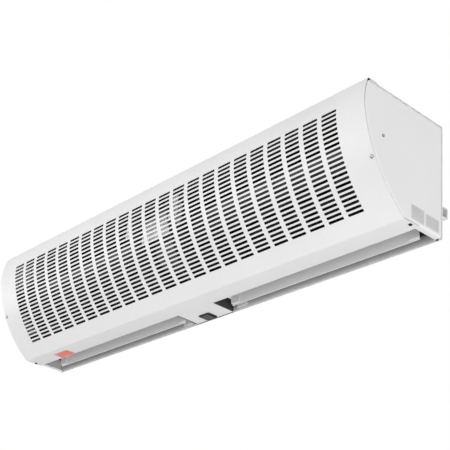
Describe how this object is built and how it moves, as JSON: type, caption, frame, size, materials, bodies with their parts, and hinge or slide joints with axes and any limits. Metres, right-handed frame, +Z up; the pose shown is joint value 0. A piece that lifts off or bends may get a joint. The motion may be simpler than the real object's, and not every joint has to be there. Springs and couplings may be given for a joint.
{
  "type": "air curtain",
  "caption": "Long wall-hung air curtain with a curved slotted cover, cross-flow fans on a central motor, tilting outlet vanes and a rocker switch underneath.",
  "frame": {"origin": "middle of the rear face of the wall rail, which lies on the wall", "axes": "+X along the casing, to the right seen from the front; +Y into the wall; +Z up"},
  "size_m": [0.9042, 0.1723, 0.1822],
  "materials": {
    "casing_paint": "satin white powder coat",
    "galvanised_sheet": "galvanised",
    "aluminium": "satin",
    "core_steel": "dull",
    "bright_steel": "zinc plated",
    "black_screw": "blackened",
    "bronze": "sintered",
    "black_rubber": "matt",
    "black_plastic": "satin",
    "grey_plastic": "satin",
    "white_plastic": "satin"
  },
  "bodies": {
    "casing": {"rear_shell": "casing_paint", "front_cover": "casing_paint", "side_plate_left": "casing_paint", "side_plate_right": "casing_paint", "wall_rail": "casing_paint", "wall_hanger_left": "galvanised_sheet", "wall_hanger_right": "galvanised_sheet", "scroll_left": "galvanised_sheet", "scroll_right": "galvanised_sheet", "stabiliser_left": "galvanised_sheet", "stabiliser_right": "galvanised_sheet", "bay_plate_left": "galvanised_sheet", "bay_plate_right": "galvanised_sheet", "switch_panel": "casing_paint", "motor_can": "aluminium", "motor_stator": "core_steel", "end_bell_left": "aluminium", "end_bell_right": "aluminium", "motor_ring_left": "black_rubber", "motor_ring_right": "black_rubber", "bearing_bush_left": "bronze", "bearing_bush_right": "bronze", "bearing_rubber_left": "black_rubber", "bearing_rubber_right": "black_rubber", "bearing_bracket_left": "galvanised_sheet", "bearing_bracket_right": "galvanised_sheet", "vane_bracket_left_inner": "galvanised_sheet", "vane_bracket_left_outer": "galvanised_sheet", "vane_bracket_right_inner": "galvanised_sheet", "vane_bracket_right_outer": "galvanised_sheet", "switch_body": "black_plastic", "terminal_block": "white_plastic", "capacitor": "white_plastic", "capacitor_nut": "bright_steel", "cable_grommet": "black_rubber", "motor_lead": "black_plastic", "switch_lead": "black_plastic", "cover_screw_front_left": "bright_steel", "cover_screw_front_right": "bright_steel", "cover_screw_lip_left": "bright_steel", "cover_screw_lip_right": "bright_steel", "cover_screw_top_left": "bright_steel", "cover_screw_top_right": "bright_steel", "side_screw_left": "black_screw", "side_screw_right": "black_screw"},
    "rotor": {"motor_shaft": "bright_steel", "motor_rotor_core": "core_steel", "impeller_left": "aluminium", "impeller_right": "aluminium", "hub_left": "black_rubber", "hub_right": "black_rubber", "stub_shaft_left": "bright_steel", "stub_shaft_right": "bright_steel"},
    "left_vane": {"vane_left": "casing_paint", "vane_clip_left_inner": "galvanised_sheet", "vane_clip_left_outer": "galvanised_sheet"},
    "right_vane": {"vane_right": "casing_paint", "vane_clip_right_inner": "galvanised_sheet", "vane_clip_right_outer": "galvanised_sheet"},
    "switch_rocker": {"rocker": "grey_plastic"}
  },
  "joints": [
    {"name": "rotor_spin", "type": "hinge", "parent": "casing", "child": "rotor", "pos_m": [0, -0.0807, 0.05955], "axis": [1, 0, 0], "continuous": true},
    {"name": "left_vane_tilt", "type": "hinge", "parent": "casing", "child": "left_vane", "pos_m": [-0.25, -0.0295, -0.023], "axis": [1, 0, 0], "range_deg": [-44, 26]},
    {"name": "right_vane_tilt", "type": "hinge", "parent": "casing", "child": "right_vane", "pos_m": [0.25, -0.0295, -0.023], "axis": [1, 0, 0], "range_deg": [-44, 26]},
    {"name": "rocker_tilt", "type": "hinge", "parent": "casing", "child": "switch_rocker", "pos_m": [-0.0084, -0.0251, -0.0416], "axis": [0, 1, 0], "range_deg": [-12, 12]}
  ]
}
